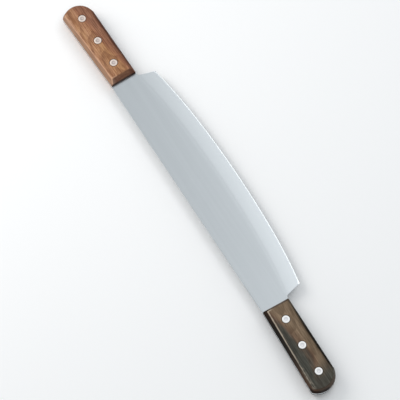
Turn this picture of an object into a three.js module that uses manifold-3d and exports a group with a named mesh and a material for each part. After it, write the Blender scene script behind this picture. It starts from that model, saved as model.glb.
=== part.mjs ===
// Two-handled knife for frozen food. One steel plate is the blade and both tangs, and each tang
// is held between two wooden scales by a row of two-piece rivets. Millimetres, +Z up.
// The knife lies on its side: +X runs along the blade to the dark handle, +Y points at the edge.

import * as THREE from 'three';
import { mergeVertices } from 'three/addons/utils/BufferGeometryUtils.js';
import Module from 'manifold-3d';

const wasm = await Module();
wasm.setup();

// Blade plate
const EDGE_CHORD = 305; // heel to heel, straight across the curved edge
const BELLY_WIDTH = 64.3; // spine to cutting edge at mid-length
const HEEL_WIDTH = 53; // spine to cutting edge at each heel
const EDGE_ROLL_OFF = 0.24; // share of the edge's fall that comes late, close to the heels
const BLADE_THICKNESS = 3;
const EASED_EDGE = 0.2; // chamfer along the spine and shoulders
const SHOULDER_SLANT = THREE.MathUtils.degToRad(14.15);
const SHOULDER_FILLET = 3.5;
const BARE_TANG = 1.2; // steel that shows between the fillet and the scales

// Ground edge
const GRIND_WIDTH = 19; // main bevel and honed strip together
const HONED_WIDTH = 1.1;
const HONED_THICKNESS = 0.7; // steel left where the main bevel meets the honed strip
const EDGE_THICKNESS = 0.12;

// Handle outline, shared by the tang and its scales
const HANDLE_LENGTH = 110.6; // to the far end of the round butt
const FRONT_WIDTH = 32.5;
const BUTT_WIDTH = 34.8; // where the round butt leaves the edge side
const EDGE_ROUND = 17.5; // from there to the end of the butt, along the handle
const BUTT_OFFSET = 3; // how far the round butt's centre lies towards the spine
const SPINE_CORNER = 4; // rounding where the butt meets the spine side
const HANDLE_TILT = THREE.MathUtils.degToRad(1.58); // lean towards the spine, for the knuckles

// Scales
const SCALE_THICKNESS = 8.5;
const SCALE_LAND = 1.4; // upright strip next to the tang, along the sides and round the butt
const FRONT_LANDS = { dark: 2, pale: 3.8 }; // the same strip under the front slopes
const SIDE_BEVEL = 3.7; // run of the bevel at the front of the sides
const BUTT_BEVEL = 2.6; // run of the bevel round the butt, which the sides narrow to
const FRONT_SLOPES = { dark: 3.8, pale: 5.4 }; // runs of the slopes over those strips
const EASED_ARRIS = 0.8;

// Rivets
const RIVET_NAMES = ['front', 'middle', 'butt'];
const FRONT_RIVET = 21.3; // from the front end of the scales
const BUTT_RIVET = 21.3; // from the end of the butt
const RIVET_HEAD_DIAMETER = 8.6;
const RIVET_HEAD_THICKNESS = 2.2;
const RIVET_RIM_CHAMFER = 0.2;
const RIVET_DISH_DIAMETER = 6.2;
const RIVET_DISH_DEPTH = 0.25;
const SLEEVE_DIAMETER = 5;
const SLEEVE_BORE = 3.2;
const PIN_TIP_CHAMFER = 0.4;

// Clearances
const RIVET_CLEARANCE = 0.1; // round the heads and sleeves, in their holes
const PIN_CLEARANCE = 0.1; // round the pin, in the sleeve
const RIVET_END_GAP = 0.4; // left at the ends of pin and sleeve when the heads are home
const CUT_MARGIN = 1; // how far a cutting tool runs past the stock

// Smoothness
const ARC_DIVISIONS = 8;
const EASE_DIVISIONS = 3;
const SIDE_DIVISIONS = 8; // the bevelled sides twist a little, so they take several facets
const EDGE_STATIONS = 61;
const ROUND_SEGMENTS = 24;
const MERGE_DISTANCE = 1e-5;

const steel = new THREE.MeshStandardMaterial({ color: 0xc4c8cc, roughness: 0.32, metalness: 1 });
const rivetMetal = new THREE.MeshStandardMaterial({ color: 0xe6e2d8, roughness: 0.28, metalness: 1 });
const woods = {
  dark: new THREE.MeshStandardMaterial({ color: 0x5b4b3d, roughness: 0.55, metalness: 0 }),
  pale: new THREE.MeshStandardMaterial({ color: 0xa57d5f, roughness: 0.55, metalness: 0 }),
};

// Solids for cutting

function toSolid(geometry) {
  const bare = geometry.clone();
  bare.deleteAttribute('normal');
  bare.deleteAttribute('uv');
  const merged = mergeVertices(bare, MERGE_DISTANCE);
  const corners = merged.getIndex().array;
  const triangles = [];
  for (let i = 0; i < corners.length; i += 3) {
    const [a, b, c] = corners.slice(i, i + 3);
    const hasArea = a !== b && b !== c && c !== a;
    if (hasArea) triangles.push(a, b, c);
  }
  return new wasm.Manifold(new wasm.Mesh({
    numProp: 3,
    vertProperties: new Float32Array(merged.getAttribute('position').array),
    triVerts: new Uint32Array(triangles),
  }));
}

function toGeometry(solid) {
  const { vertProperties, triVerts } = solid.getMesh();
  const geometry = new THREE.BufferGeometry();
  geometry.setAttribute('position', new THREE.BufferAttribute(vertProperties, 3));
  geometry.setIndex(new THREE.BufferAttribute(triVerts, 1));
  geometry.computeVertexNormals();
  return geometry;
}

// Skin over a row of matching closed sections, each counter-clockwise seen from the far end.
function loft(sections, place) {
  const count = sections[0].outline.length;
  const lastStart = (sections.length - 1) * count;
  const positions = [];
  for (const { outline, station } of sections) {
    for (const point of outline) positions.push(...place(point, station));
  }
  const index = [];
  for (const [a, b, c] of THREE.ShapeUtils.triangulateShape(sections[0].outline, [])) {
    index.push(a, c, b);
  }
  for (const [a, b, c] of THREE.ShapeUtils.triangulateShape(sections.at(-1).outline, [])) {
    index.push(lastStart + a, lastStart + b, lastStart + c);
  }
  for (let start = 0; start < lastStart; start += count) {
    for (let i = 0; i < count; i += 1) {
      const near = start + i;
      const next = start + (i + 1) % count;
      index.push(near, next, next + count, near, next + count, near + count);
    }
  }
  const geometry = new THREE.BufferGeometry();
  geometry.setAttribute('position', new THREE.Float32BufferAttribute(positions, 3));
  geometry.setIndex(index);
  return geometry;
}

// A revolved piece with its axis along Z. The profile is read as radius and height.
function revolve(profile) {
  return new THREE.LatheGeometry(profile, ROUND_SEGMENTS).rotateX(Math.PI / 2);
}

// Handle outline in the handle's own frame: X outwards along the handle, Y from spine to edge.
// One arc makes the round butt. It starts early on the edge side and ends in a rounded corner on
// the spine side. The insets draw the sides in at the front, and the sides and the arc at the butt.

const frontHalf = FRONT_WIDTH / 2;
const buttHalf = BUTT_WIDTH / 2;
const edgeCornerPlace = HANDLE_LENGTH - EDGE_ROUND;
const flare = sideSlope(0, 0);
const buttRadius = (EDGE_ROUND ** 2 + (buttHalf + BUTT_OFFSET) ** 2) / (2 * EDGE_ROUND);
const buttCentre = new THREE.Vector2(HANDLE_LENGTH - buttRadius, -BUTT_OFFSET);

function sideSlope(sideInset, buttInset) {
  return (buttHalf - buttInset - frontHalf + sideInset) / edgeCornerPlace;
}

// Where the butt's arc meets a side, which is 1 for the edge side and -1 for the spine side.
function buttCorner(side, sideInset, buttInset) {
  const half = frontHalf - sideInset;
  const slope = sideSlope(sideInset, buttInset);
  const reach = half - side * buttCentre.y;
  const squared = 1 + slope ** 2;
  const linear = slope * reach - buttCentre.x;
  const constant = buttCentre.x ** 2 + reach ** 2 - (buttRadius - buttInset) ** 2;
  const x = (-linear + Math.sqrt(linear ** 2 - squared * constant)) / squared;
  return new THREE.Vector2(x, side * (half + slope * x));
}

function arcPoints(centre, radius, from, to, divisions) {
  return new THREE.EllipseCurve(centre.x, centre.y, radius, radius, from, to).getPoints(divisions);
}

// From the spine side round the butt to the edge side.
function buttOutline(sideInset, buttInset) {
  const edgeCorner = buttCorner(1, sideInset, buttInset).sub(buttCentre);
  const spineRound = buttCorner(-1, sideInset + SPINE_CORNER, buttInset + SPINE_CORNER);
  const start = -Math.PI / 2 - Math.atan(sideSlope(sideInset, buttInset));
  const turn = Math.atan2(spineRound.y - buttCentre.y, spineRound.x - buttCentre.x);
  const end = Math.atan2(edgeCorner.y, edgeCorner.x);
  return [
    ...arcPoints(spineRound, SPINE_CORNER, start, turn, ARC_DIVISIONS),
    ...arcPoints(buttCentre, buttRadius - buttInset, turn, end, 2 * ARC_DIVISIONS).slice(1),
  ];
}

function sidePoints(from, to) {
  const points = [];
  for (let i = 1; i < SIDE_DIVISIONS; i += 1) points.push(from.clone().lerp(to, i / SIDE_DIVISIONS));
  return points;
}

function handleOutline(sideInset, frontInset, buttInset) {
  const half = frontHalf - sideInset + sideSlope(sideInset, buttInset) * frontInset;
  const edgeFront = new THREE.Vector2(frontInset, half);
  const spineFront = new THREE.Vector2(frontInset, -half);
  const butt = buttOutline(sideInset, buttInset);
  return [
    edgeFront,
    spineFront,
    ...sidePoints(spineFront, butt[0]),
    ...butt,
    ...sidePoints(butt.at(-1), edgeFront),
  ];
}

// Where the handles sit on the blade. The spine side of a scale starts flush with the spine, and
// the edge side starts just clear of the fillet that joins the tang to the slanted shoulder.

const tangEdgeAngle = Math.atan(flare) - HANDLE_TILT;
const tangEdge = new THREE.Vector2(Math.cos(tangEdgeAngle), Math.sin(tangEdgeAngle));
const shoulderAngle = SHOULDER_SLANT - Math.PI / 2;
const shoulder = new THREE.Vector2(Math.cos(shoulderAngle), Math.sin(shoulderAngle));
const filletReach = SHOULDER_FILLET * Math.tan((tangEdgeAngle - shoulderAngle) / 2);
const scaleSetback = filletReach + BARE_TANG;

const shoulderFoot = new THREE.Vector2();
shoulderFoot.y = FRONT_WIDTH * Math.cos(HANDLE_TILT) - scaleSetback * tangEdge.y;
shoulderFoot.x = EDGE_CHORD / 2 + (HEEL_WIDTH - shoulderFoot.y) * Math.tan(SHOULDER_SLANT);
const handleOrigin = new THREE.Vector2();
handleOrigin.x = shoulderFoot.x + scaleSetback * tangEdge.x - frontHalf * Math.sin(HANDLE_TILT);
handleOrigin.y = frontHalf * Math.cos(HANDLE_TILT);

function handleGroup(side) {
  const group = new THREE.Group();
  group.position.set(side * handleOrigin.x, handleOrigin.y, 0);
  group.rotation.z = side > 0 ? -HANDLE_TILT : Math.PI + HANDLE_TILT;
  group.updateMatrix();
  return group;
}

// The rivets are spread evenly between the one nearest the blade and the one nearest the butt.
function rivetPlace(number) {
  const share = number / (RIVET_NAMES.length - 1);
  return THREE.MathUtils.lerp(FRONT_RIVET, HANDLE_LENGTH - BUTT_RIVET, share);
}

// Blade: a stamped blank, ground from both faces to a curved edge, then drilled for the rivets.

function edgeHeight(x) {
  const reach = Math.min(Math.abs(x), shoulderFoot.x) / (EDGE_CHORD / 2);
  const fall = (1 - EDGE_ROLL_OFF) * reach ** 2 + EDGE_ROLL_OFF * reach ** 4;
  return BELLY_WIDTH - (BELLY_WIDTH - HEEL_WIDTH) * fall;
}

// Half of the blank's outline: shoulder, fillet, tang side, round butt and back to the spine.
function blankHalf() {
  const stockTop = BELLY_WIDTH + CUT_MARGIN;
  const filletStart = shoulderFoot.clone().addScaledVector(shoulder, -filletReach);
  const towardsGap = new THREE.Vector2(-shoulder.y, shoulder.x);
  const filletCentre = filletStart.addScaledVector(towardsGap, SHOULDER_FILLET);
  const pivot = new THREE.Vector2();
  const butt = buttOutline(0, 0).map((point) => point.rotateAround(pivot, -HANDLE_TILT).add(handleOrigin));
  const spineFront = new THREE.Vector2(handleOrigin.x - frontHalf * Math.sin(HANDLE_TILT), 0);

  const path = new THREE.Path();
  path.moveTo(shoulderFoot.x - (stockTop - shoulderFoot.y) * Math.tan(SHOULDER_SLANT), stockTop);
  path.lineTo(shoulderFoot.x - (HEEL_WIDTH - shoulderFoot.y) * Math.tan(SHOULDER_SLANT), HEEL_WIDTH);
  path.absarc(
    filletCentre.x, filletCentre.y, SHOULDER_FILLET,
    Math.PI + SHOULDER_SLANT, Math.PI * 1.5 + tangEdgeAngle,
  );
  return [...path.getPoints(ARC_DIVISIONS), ...butt.reverse(), spineFront];
}

function bladeBlank() {
  const half = blankHalf();
  const mirrored = half.map((point) => new THREE.Vector2(-point.x, point.y)).reverse();
  const blank = new THREE.ExtrudeGeometry(new THREE.Shape([...half, ...mirrored]), {
    depth: BLADE_THICKNESS - 2 * EASED_EDGE,
    bevelThickness: EASED_EDGE,
    bevelSize: EASED_EDGE,
    bevelOffset: -EASED_EDGE,
    bevelSegments: 1,
  });
  return blank.translate(0, 0, EASED_EDGE - BLADE_THICKNESS / 2);
}

// Section, as Y and Z, of the steel that grinding and honing take away at one place along the edge.
function groundSection(x) {
  const edge = edgeHeight(x);
  const honed = edge - HONED_WIDTH;
  const grind = edge - GRIND_WIDTH;
  const outside = BELLY_WIDTH + 2 * CUT_MARGIN;
  const above = BLADE_THICKNESS / 2 + CUT_MARGIN;
  const runBack = (honed - grind) / ((BLADE_THICKNESS - HONED_THICKNESS) / 2);
  const aboveGrind = grind - runBack * CUT_MARGIN;
  return [
    new THREE.Vector2(outside, -above),
    new THREE.Vector2(outside, above),
    new THREE.Vector2(aboveGrind, above),
    new THREE.Vector2(honed, HONED_THICKNESS / 2),
    new THREE.Vector2(edge, EDGE_THICKNESS / 2),
    new THREE.Vector2(edge, -EDGE_THICKNESS / 2),
    new THREE.Vector2(honed, -HONED_THICKNESS / 2),
    new THREE.Vector2(aboveGrind, -above),
  ];
}

function groundAway() {
  const end = handleOrigin.x;
  const sections = [];
  for (let i = 0; i < EDGE_STATIONS; i += 1) {
    const station = THREE.MathUtils.lerp(-end, end, i / (EDGE_STATIONS - 1));
    sections.push({ outline: groundSection(station), station });
  }
  return loft(sections, (point, x) => [x, point.x, point.y]);
}

function bladeMesh(handles) {
  let blade = toSolid(bladeBlank()).subtract(toSolid(groundAway()));
  const holeRadius = SLEEVE_DIAMETER / 2 + RIVET_CLEARANCE;
  const holeLength = BLADE_THICKNESS + 2 * CUT_MARGIN;
  for (const handle of handles) {
    for (const number of RIVET_NAMES.keys()) {
      const hole = new THREE.CylinderGeometry(holeRadius, holeRadius, holeLength, ROUND_SEGMENTS);
      hole.rotateX(Math.PI / 2).translate(rivetPlace(number), 0, 0).applyMatrix4(handle.matrix);
      blade = blade.subtract(toSolid(hole));
    }
  }
  const mesh = new THREE.Mesh(toGeometry(blade), steel);
  mesh.name = 'blade';
  return mesh;
}

// Scales: bevelled wooden slabs with the tang's outline, counterbored for the rivet heads.

const seatHeight = SCALE_THICKNESS - RIVET_HEAD_THICKNESS;
const lands = [SCALE_LAND, FRONT_LANDS.dark, FRONT_LANDS.pale].sort((a, b) => a - b);
const bevelLevels = [0, ...lands, SCALE_THICKNESS - EASED_ARRIS];

// A scale's flank as inset and height: upright land, bevel of the given run, eased arris.
function flank(land, run) {
  const slope = run / (SCALE_THICKNESS - land);
  const rise = bevelLevels.map((height) => new THREE.Vector2(slope * Math.max(0, height - land), height));
  const ease = new THREE.QuadraticBezierCurve(
    rise.at(-1),
    new THREE.Vector2(run, SCALE_THICKNESS),
    new THREE.Vector2(run + EASED_ARRIS, SCALE_THICKNESS),
  );
  return [...rise, ...ease.getPoints(EASE_DIVISIONS).slice(1)];
}

function rivetHole() {
  const bore = SLEEVE_DIAMETER / 2 + RIVET_CLEARANCE;
  const counterbore = RIVET_HEAD_DIAMETER / 2 + RIVET_CLEARANCE;
  return revolve([
    new THREE.Vector2(0, -CUT_MARGIN),
    new THREE.Vector2(bore, -CUT_MARGIN),
    new THREE.Vector2(bore, seatHeight),
    new THREE.Vector2(counterbore, seatHeight),
    new THREE.Vector2(counterbore, SCALE_THICKNESS + CUT_MARGIN),
    new THREE.Vector2(0, SCALE_THICKNESS + CUT_MARGIN),
  ]);
}

// Scales are left and right handed. The edge side faces +Y on one hand and -Y on the other.
function scaleGeometry(hand, finish) {
  const sides = flank(SCALE_LAND, SIDE_BEVEL);
  const fronts = flank(FRONT_LANDS[finish], FRONT_SLOPES[finish]);
  const butts = flank(SCALE_LAND, BUTT_BEVEL);
  const sections = sides.map((side, level) => {
    const outline = handleOutline(side.x, fronts[level].x, butts[level].x);
    const handed = outline.map((point) => new THREE.Vector2(point.x, hand * point.y));
    return { outline: hand > 0 ? handed : handed.reverse(), station: side.y };
  });
  let scale = toSolid(loft(sections, (point, z) => [point.x, point.y, z]));
  for (const number of RIVET_NAMES.keys()) {
    scale = scale.subtract(toSolid(rivetHole().translate(rivetPlace(number), 0, 0)));
  }
  return toGeometry(scale);
}

// Rivets: a head with a solid pin, pressed into a head with a tubular sleeve.

const rivetGrip = BLADE_THICKNESS + 2 * seatHeight;
const shankLength = rivetGrip - RIVET_END_GAP;

// From the head's underside, at height 0, round its chamfered rim and down into the shallow dish.
function headProfile() {
  const radius = RIVET_HEAD_DIAMETER / 2;
  const dish = RIVET_DISH_DIAMETER / 2;
  const floor = RIVET_HEAD_THICKNESS - RIVET_DISH_DEPTH;
  const path = new THREE.Path();
  path.moveTo(radius, 0);
  path.lineTo(radius, RIVET_HEAD_THICKNESS - RIVET_RIM_CHAMFER);
  path.lineTo(radius - RIVET_RIM_CHAMFER, RIVET_HEAD_THICKNESS);
  path.lineTo(dish, RIVET_HEAD_THICKNESS);
  path.quadraticCurveTo(dish / 2, floor, 0, floor);
  return path.getPoints(EASE_DIVISIONS);
}

function pinGeometry() {
  const radius = SLEEVE_BORE / 2 - PIN_CLEARANCE;
  return revolve([
    new THREE.Vector2(0, -shankLength),
    new THREE.Vector2(radius - PIN_TIP_CHAMFER, -shankLength),
    new THREE.Vector2(radius, PIN_TIP_CHAMFER - shankLength),
    new THREE.Vector2(radius, 0),
    ...headProfile(),
  ]);
}

function sleeveGeometry() {
  return revolve([
    new THREE.Vector2(0, 0),
    new THREE.Vector2(SLEEVE_BORE / 2, 0),
    new THREE.Vector2(SLEEVE_BORE / 2, -shankLength),
    new THREE.Vector2(SLEEVE_DIAMETER / 2, -shankLength),
    new THREE.Vector2(SLEEVE_DIAMETER / 2, 0),
    ...headProfile(),
  ]);
}

// Assembly

// A piece turned over sits on the lower face of the tang.
function addToFace(group, geometry, material, name, along, height, isUpper) {
  const mesh = new THREE.Mesh(geometry, material);
  mesh.name = name;
  mesh.position.set(along, 0, isUpper ? height : -height);
  mesh.rotation.x = isUpper ? 0 : Math.PI;
  group.add(mesh);
}

function fillHandle(group, finish, hand) {
  const wood = woods[finish];
  const face = BLADE_THICKNESS / 2;
  const seat = face + seatHeight;
  addToFace(group, scaleGeometry(hand, finish), wood, `${finish}_upper_scale`, 0, face, true);
  addToFace(group, scaleGeometry(-hand, finish), wood, `${finish}_lower_scale`, 0, face, false);
  for (const [number, place] of RIVET_NAMES.entries()) {
    const along = rivetPlace(number);
    addToFace(group, pinGeometry(), rivetMetal, `${finish}_${place}_rivet_pin`, along, seat, true);
    addToFace(group, sleeveGeometry(), rivetMetal, `${finish}_${place}_rivet_sleeve`, along, seat, false);
  }
}

const darkHandle = handleGroup(1);
const paleHandle = handleGroup(-1);
fillHandle(darkHandle, 'dark', 1);
fillHandle(paleHandle, 'pale', -1);

const knife = new THREE.Group();
knife.add(bladeMesh([darkHandle, paleHandle]), darkHandle, paleHandle);

// The origin is under the middle of the knife, on the surface that it lies on.
const box = new THREE.Box3().setFromObject(knife, true);
const middle = box.getCenter(new THREE.Vector3());
knife.position.set(-middle.x, -middle.y, -box.min.z);

export default knife;
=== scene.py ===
# %% [markdown]
# This lesson dresses a knife for frozen food, which is pushed down with both hands. One steel
# plate makes the blade and both tangs, and each tang lies between two wooden scales held by
# three rivets. The solids of the knife come from CAD at their real size. They are loaded first,
# and the looks are then built round them, in metres, without moving or resizing anything.

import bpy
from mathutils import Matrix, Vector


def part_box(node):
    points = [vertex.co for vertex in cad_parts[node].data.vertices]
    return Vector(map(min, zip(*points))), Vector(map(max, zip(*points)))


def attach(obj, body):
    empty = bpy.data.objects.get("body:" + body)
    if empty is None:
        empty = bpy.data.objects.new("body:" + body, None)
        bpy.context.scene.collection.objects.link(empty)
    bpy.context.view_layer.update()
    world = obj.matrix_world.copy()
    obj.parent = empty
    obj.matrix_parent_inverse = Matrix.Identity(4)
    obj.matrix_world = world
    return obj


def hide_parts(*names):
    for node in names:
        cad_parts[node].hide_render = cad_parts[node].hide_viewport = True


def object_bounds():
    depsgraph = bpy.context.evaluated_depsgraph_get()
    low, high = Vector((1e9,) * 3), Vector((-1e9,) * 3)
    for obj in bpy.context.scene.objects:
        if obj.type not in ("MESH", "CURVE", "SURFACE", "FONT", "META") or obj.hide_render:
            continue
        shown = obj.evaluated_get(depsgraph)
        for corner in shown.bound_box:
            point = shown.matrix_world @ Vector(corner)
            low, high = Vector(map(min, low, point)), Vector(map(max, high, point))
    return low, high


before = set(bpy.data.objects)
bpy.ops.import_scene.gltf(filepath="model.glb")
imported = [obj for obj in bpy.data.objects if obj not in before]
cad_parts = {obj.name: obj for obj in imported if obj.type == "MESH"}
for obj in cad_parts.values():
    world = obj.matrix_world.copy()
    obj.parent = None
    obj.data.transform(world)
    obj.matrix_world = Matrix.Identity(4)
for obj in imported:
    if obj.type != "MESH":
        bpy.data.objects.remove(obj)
cad_low, cad_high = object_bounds()
print("loaded", len(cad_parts), "solids, size in metres", tuple(cad_high - cad_low))

# %% [markdown]
# Blender works in metres, but a knife is easier to think about in millimetres, so every mesh is
# drawn in millimetres and scaled once when it is finished. The blade's main lines could be typed
# in, but lines measured on the solid stay right if the solid changes: its two faces, the heels
# where the cutting edge stops, and the straight spine, which reaches to the front of the scales.
# The cutting edge is found by its thinness, since nothing else lies so close to the middle plane.

# %% Measure the blade
import math

import bmesh
import bpy
from mathutils import Color, Matrix, Vector
from mathutils.geometry import delaunay_2d_cdt

MM = 0.001
EDGE_THICKNESS = 0.12
TOUCH = 0.01


def solid_points(name):
    return [vertex.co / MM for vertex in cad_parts[name].data.vertices]


plate_low, plate_high = (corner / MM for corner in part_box("blade"))
plate_thickness = plate_high.z - plate_low.z
mid_plane = (plate_high.z + plate_low.z) / 2
blade_points = solid_points("blade")
edge_points = [point for point in blade_points if abs(point.z - mid_plane) < EDGE_THICKNESS]
heel = max(edge_points, key=lambda point: point.x)
scale_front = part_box("dark_upper_scale")[0].x / MM
spine = min(point.y for point in blade_points if abs(point.x) < scale_front + TOUCH)
heel_width = heel.y - spine
belly_width = plate_high.y - spine
knife_origin = Vector((0, spine, mid_plane))
knife_matrix = Matrix.Translation(knife_origin * MM)
print(f"blade {2 * heel.x:.1f} mm long, {belly_width:.1f} mm wide, {plate_thickness:.1f} mm thick")

# %% [markdown]
# Each handle gets a frame of its own, with X out along the grain and Y across it, because wood is
# sawn, shaped and drilled along that axis. The three rivets of a handle stand in a row, so the
# line through the first and the last gives the axis, and the scale's nearest point to the blade
# gives the start. The outline of the scale is read off in the frame of the dark handle, where Y
# points from the spine to the edge. A solid's arcs are made of flat facets, and a true arc bulges
# past them by a hair, so the length is taken that much shorter.

# %% Measure the handles
RIVET_PLACES = ("front", "middle", "butt")
FINISHES = ("dark", "pale")
FACET_BULGE = 0.03


def rivet_centre(finish, place):
    low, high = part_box(f"{finish}_{place}_rivet_pin")
    middle = (low + high) / 2 / MM
    return Vector((middle.x, middle.y - spine, 0))


def handle_frame(finish):
    """The handle's own frame, in millimetres, and the points of its upper scale."""
    front = rivet_centre(finish, "front")
    along = (rivet_centre(finish, "butt") - front).normalized()
    across = Vector((-along.y, along.x, 0))
    points = [point - knife_origin for point in solid_points(f"{finish}_upper_scale")]
    start = front + along * min((point - front).dot(along) for point in points)
    turn = Matrix((along, across, Vector((0, 0, 1)))).transposed().to_4x4()
    return Matrix.Translation(start) @ turn, points


handles = {}
scale_points = {}
for finish in FINISHES:
    handles[finish], scale_points[finish] = handle_frame(finish)
inward = handles["dark"].inverted()
tang_face = plate_thickness / 2
tang_outline = [inward @ point for point in scale_points["dark"] if point.z < tang_face + TOUCH]
scale_thickness = max(point.z for point in scale_points["dark"]) - tang_face
handle_length = max(point.x for point in tang_outline) - FACET_BULGE
front_half = max(point.y for point in tang_outline if point.x < TOUCH)
edge_corner = max(tang_outline, key=lambda point: point.y)
rivet_rows = [(inward @ rivet_centre("dark", place)).x for place in RIVET_PLACES]
print(f"handle {handle_length:.1f} mm long, {2 * front_half:.1f} to {2 * edge_corner.y:.1f} mm wide")
print("rivets at", [round(row, 2) for row in rivet_rows], "mm from the front of the scales")

# %% [markdown]
# The camera comes before the looks, so that every trial render shows the same view. The knife was
# taken from far away with a long lens, steeply from above, over the dark handle's spine side. A
# camera shift would do the framing, but turning the camera a little does it just as well, and then
# the shift stays at nought for all other views.

# %% Camera
IMAGE_SIZE = 400
SENSOR_WIDTH = 36.0
LENS = 182.0
VIEW_AZIMUTH = math.radians(58.22)
VIEW_ELEVATION = math.radians(66.55)
VIEW_DISTANCE = 2.2575
AIM_FROM_SPINE = 33.0
AIM_PIXEL = Vector((210.7, 182.85))

camera = bpy.data.objects.new("camera", bpy.data.cameras.new("camera"))
bpy.context.collection.objects.link(camera)
bpy.context.scene.camera = camera
camera.data.sensor_width = SENSOR_WIDTH
camera.data.lens = LENS
aim = knife_matrix @ (Vector((0, AIM_FROM_SPINE, tang_face)) * MM)
out = math.cos(VIEW_ELEVATION)
back = Vector((out * math.sin(VIEW_AZIMUTH), -out * math.cos(VIEW_AZIMUTH), math.sin(VIEW_ELEVATION)))
right = Vector((math.cos(VIEW_AZIMUTH), math.sin(VIEW_AZIMUTH), 0))
off_centre = (Vector((IMAGE_SIZE, IMAGE_SIZE)) / 2 - AIM_PIXEL) * SENSOR_WIDTH / LENS / IMAGE_SIZE
gaze = (right * off_centre.x - back.cross(right) * off_centre.y - back).normalized()
sideways = (right - gaze * right.dot(gaze)).normalized()
upwards = sideways.cross(gaze)
camera.location = aim + back * VIEW_DISTANCE
camera.rotation_euler = Matrix((sideways, upwards, -gaze)).transposed().to_euler()
print("camera at", [round(value, 3) for value in camera.location])

# %% [markdown]
# Steel and rivets show little of themselves and much of what stands round them, so the lights are
# laid out as reflections. A picture of a studio could be wrapped round the scene, but boxes can be
# moved one by one. A bright box beyond the cutting edge is seen by the ground bevel and the
# honed strip, while the flat of the blade just misses it and stays a cool grey. A weak box high up
# is seen in the flat's dark handle end, which is a little lighter. The third, over the pale handle,
# models the wood. An area light's power is worked out from the brightness wanted.

# %% Studio light
SKY_COLOUR = (0.93, 0.97, 1.0, 1.0)
SKY_BRIGHTNESS = 0.65
WHITE = (1, 1, 1)
WARM_WHITE = (1.0, 0.97, 0.94)


def soft_box(name, place, target, size, brightness, colour=WHITE):
    width, height = size
    light = bpy.data.lights.new(name, "AREA")
    light.shape = "RECTANGLE"
    light.size = width
    light.size_y = height
    light.energy = brightness * math.pi * width * height
    light.color = colour
    box = bpy.data.objects.new(name, light)
    bpy.context.collection.objects.link(box)
    box.location = place
    box.rotation_euler = (Vector(target) - Vector(place)).to_track_quat("-Z", "Y").to_euler()
    print(name, "gives", round(light.energy, 1), "W")
    return box


world = bpy.data.worlds.new("studio")
bpy.context.scene.world = world
world.use_nodes = True
sky = world.node_tree.nodes["Background"].inputs
sky["Color"].default_value = SKY_COLOUR
sky["Strength"].default_value = SKY_BRIGHTNESS
soft_box("edge_light", (-0.35, 0.89, 1.34), (-0.4, 0, 0), size=(1.4, 0.6), brightness=1.4)
soft_box("flat_light", (0.0, 0.43, 1.86), (0.1, 0, 0), size=(0.7, 0.7), brightness=0.2)
wood_box = {"size": (0.8, 0.8), "brightness": 3.4, "colour": WARM_WHITE}
wood_light = soft_box("wood_light", (-0.85, -0.5, 0.8), (-0.1, 0, 0), **wood_box)
bpy.context.scene.view_settings.view_transform = "Standard"

# %% [markdown]
# The floor is a plain pale disc, wide enough to reach behind the knife in low views. A backdrop
# that curves up behind the knife would do as well, but the blade would mirror it. The disc lies at
# the height of the lower scales, which the knife rests on, so the shadow under the blade tells
# that the blade stands clear of the table.

# %% Floor
FLOOR_RADIUS = 4.0
FLOOR_SIDES = 96
FLOOR_COLOUR = (0.97, 0.97, 0.97, 1.0)
FLOOR_ROUGHNESS = 0.8

disc = bmesh.new()
bmesh.ops.create_circle(disc, cap_ends=True, segments=FLOOR_SIDES, radius=FLOOR_RADIUS)
floor = bpy.data.objects.new("floor", bpy.data.meshes.new("floor"))
disc.to_mesh(floor.data)
disc.free()
floor.location.z = cad_low.z
bpy.context.collection.objects.link(floor)
floor_paint = bpy.data.materials.new("pale_floor")
floor_paint.use_nodes = True
floor_shader = floor_paint.node_tree.nodes["Principled BSDF"].inputs
floor_shader["Base Color"].default_value = FLOOR_COLOUR
floor_shader["Roughness"].default_value = FLOOR_ROUGHNESS
floor.data.materials.append(floor_paint)
print("floor at height", floor.location.z)

# %% [markdown]
# Materials here are trees of nodes, and many small nodes are hard to read. They could be wired by
# hand in the shader editor, but a script shows every value in one place. These few helpers make a
# node and fill its inputs in one call: an input takes either a number or the output of another
# node.

# %% Node helpers
def feed(tree, socket, value):
    if isinstance(value, bpy.types.NodeSocket):
        tree.links.new(value, socket)
    else:
        socket.default_value = value


def add_node(tree, kind, inputs, **settings):
    node = tree.nodes.new("ShaderNode" + kind)
    for name, value in settings.items():
        setattr(node, name, value)
    for name, value in inputs.items():
        feed(tree, node.inputs[name], value)
    return node


def calculate(tree, operation, first, second=0.0):
    return add_node(tree, "Math", {0: first, 1: second}, operation=operation).outputs[0]


def plus(tree, first, second):
    return calculate(tree, "ADD", first, second)


def minus(tree, first, second):
    return calculate(tree, "SUBTRACT", first, second)


def times(tree, first, second):
    return calculate(tree, "MULTIPLY", first, second)


def combine(tree, operation, first, second):
    """Like calculate, for places and directions."""
    return add_node(tree, "VectorMath", {0: first, 1: second}, operation=operation).outputs[0]


print("node helpers:", [helper.__name__ for helper in (add_node, calculate, plus, minus, times, combine)])

# %% [markdown]
# Most finishes are noise with its contrast raised. Noise seldom leaves the middle of its range, so
# a smooth step between two limits round the middle makes the most of it, and three pairs of limits
# serve nearly everywhere. Noise can also be stretched, into fibres or brushed lines: the stretch is
# given as spots per millimetre along each axis. Colours are given as they look on a screen and
# turned into the linear light that Blender calculates with.

# %% Colour and noise helpers
SCREEN_WHITE = 255
NOISE_MEAN = 0.5
NOISE_WIDE = (0.25, 0.75)
NOISE_MIDDLE = (0.3, 0.7)
NOISE_NARROW = (0.35, 0.65)


def ease(tree, value, limits, start=0.0, end=1.0):
    """A smooth step from start, below the lower limit, to end, above the upper one."""
    low, high = limits
    steps = {"Value": value, "From Min": low, "From Max": high, "To Min": start, "To Max": end}
    return add_node(tree, "MapRange", steps, interpolation_type="SMOOTHSTEP").outputs["Result"]


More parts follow.
